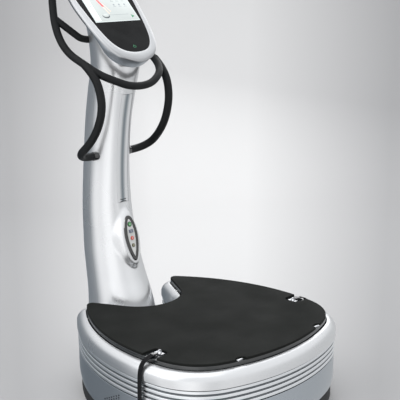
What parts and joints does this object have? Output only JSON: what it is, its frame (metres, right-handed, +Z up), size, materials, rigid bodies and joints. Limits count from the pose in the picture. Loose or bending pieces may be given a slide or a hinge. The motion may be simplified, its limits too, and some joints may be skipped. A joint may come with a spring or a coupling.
{
  "type": "vibration plate",
  "caption": "Drum-based gym vibration plate with a sprung platform, bowed column, tilted touch console, welded grip handlebar and two hand straps.",
  "frame": {"origin": "on the floor, at the centre of the machine's footprint without its straps", "axes": "+Z up; the user stands on the platform facing +Y towards the column; +X to the user's right"},
  "size_m": [0.909, 1.0739, 1.55],
  "materials": {
    "frame_steel": "black powder coat on welded steel",
    "black_plastic": "fine-textured black moulding",
    "rubber": "matte black rubber",
    "zinc_steel": "zinc-plated steel",
    "silver_shell": "satin blue-grey metallic paint",
    "silver_band": "satin anodised aluminium",
    "silver_rim": "glossy silver metallic lacquer",
    "silver_column": "silver metallic lacquer over a moulded shell",
    "grey_insert": "darker grey satin metallic",
    "cast_aluminium": "sand-cast aluminium",
    "black_plate": "dark gloss paint on a steel plate",
    "mat_rubber": "fine pebbled rubber mat",
    "black_gloss": "gloss black moulding",
    "webbing": "woven black polyester webbing with light stitching",
    "foam_grip": "matte black grip sleeve",
    "ground_steel": "ground steel",
    "light_panel": "light grey printed panel",
    "green_key": "green key cap",
    "red_key": "red key cap",
    "olive_key": "dark olive key cap",
    "blue_key": "blue-grey key cap",
    "circuit_board": "green solder mask",
    "touch_glass": "black-backed touch glass",
    "lcd_panel": "lit display panel"
  },
  "bodies": {
    "root": {"base_frame": "frame_steel", "plinth_skirt": "black_plastic", "foot_pads": "rubber", "foot_studs": "zinc_steel", "side_shell": "silver_shell", "rib_band": "silver_band", "top_cap": "silver_rim", "rubber_isolators": "rubber", "motor_drive": "cast_aluminium", "column_mast": "frame_steel", "mast_bolts": "zinc_steel", "column_front_cover": "silver_column", "column_rear_cover": "silver_column", "service_cover": "silver_column", "spine_insert": "grey_insert", "power_inlet": "black_plastic", "pod_bezel": "black_gloss", "pod_panel": "light_panel", "pod_board": "circuit_board", "console_bezel": "silver_rim", "console_glass": "touch_glass", "console_tub": "silver_band", "lcd_module": "lcd_panel", "console_board": "circuit_board", "console_housing": "silver_column", "console_bracket": "frame_steel", "upper_bar_tube": "frame_steel", "upper_bar_grip": "foam_grip", "lower_bar_tube_left": "frame_steel", "lower_bar_tube_right": "frame_steel", "lower_bar_grip_left": "foam_grip", "lower_bar_grip_right": "foam_grip", "bar_braces": "foam_grip", "bar_end_caps": "black_plastic"},
    "platform": {"vibration_plate": "black_plate", "platform_mat": "mat_rubber", "plate_subframe": "frame_steel", "strap_eyelets": "zinc_steel", "strap_clip_left": "black_gloss", "strap_clip_right": "black_gloss", "strap_left": "webbing", "strap_right": "webbing", "strap_grip_left": "foam_grip", "strap_grip_right": "foam_grip", "motor_housing_left": "cast_aluminium", "motor_housing_right": "cast_aluminium", "motor_bearings": "ground_steel"},
    "rotor_left": {"motor_shaft_left": "ground_steel", "eccentric_weights_left": "frame_steel"},
    "rotor_right": {"motor_shaft_right": "ground_steel", "eccentric_weights_right": "frame_steel"},
    "start_button": {"start_button": "green_key"},
    "stop_button": {"stop_button": "red_key"},
    "repeat_button": {"repeat_button": "olive_key"},
    "level_button": {"level_button": "blue_key"},
    "power_rocker": {"power_rocker": "black_gloss"}
  },
  "joints": [
    {"name": "platform_vibration", "type": "slide", "parent": "root", "child": "platform", "axis": [0, 0, 1], "range_m": [-0.002, 0.002], "stiffness_N_per_m": 450000, "springref_m": 0.00234, "deforming": ["rubber_isolators"]},
    {"name": "rotor_left_spin", "type": "hinge", "parent": "platform", "child": "rotor_left", "pos_m": [-0.165, -0.13, 0.205], "axis": [0, 1, 0], "continuous": true},
    {"name": "rotor_right_spin", "type": "hinge", "parent": "platform", "child": "rotor_right", "pos_m": [0.165, -0.13, 0.205], "axis": [0, 1, 0], "continuous": true},
    {"name": "start_button_press", "type": "slide", "parent": "root", "child": "start_button", "axis": [0, 0.9671, -0.2545], "range_m": [0, 0.0015], "stiffness_N_per_m": 900, "springref_m": -0.0006},
    {"name": "stop_button_press", "type": "slide", "parent": "root", "child": "stop_button", "axis": [0, 0.9671, -0.2545], "range_m": [0, 0.0015], "stiffness_N_per_m": 900, "springref_m": -0.0006},
    {"name": "repeat_button_press", "type": "slide", "parent": "root", "child": "repeat_button", "axis": [0, 0.9671, -0.2545], "range_m": [0, 0.0015], "stiffness_N_per_m": 900, "springref_m": -0.0006},
    {"name": "level_button_press", "type": "slide", "parent": "root", "child": "level_button", "axis": [0, 0.9671, -0.2545], "range_m": [0, 0.0015], "stiffness_N_per_m": 900, "springref_m": -0.0006},
    {"name": "power_rocker_tilt", "type": "hinge", "parent": "root", "child": "power_rocker", "pos_m": [0.017, 0.49, 0.105], "axis": [1, 0, 0], "range_deg": [-7, 7]}
  ],
  "couplings": [
    {"joint": "rotor_right_spin", "follows": "rotor_left_spin", "ratio": -1}
  ]
}
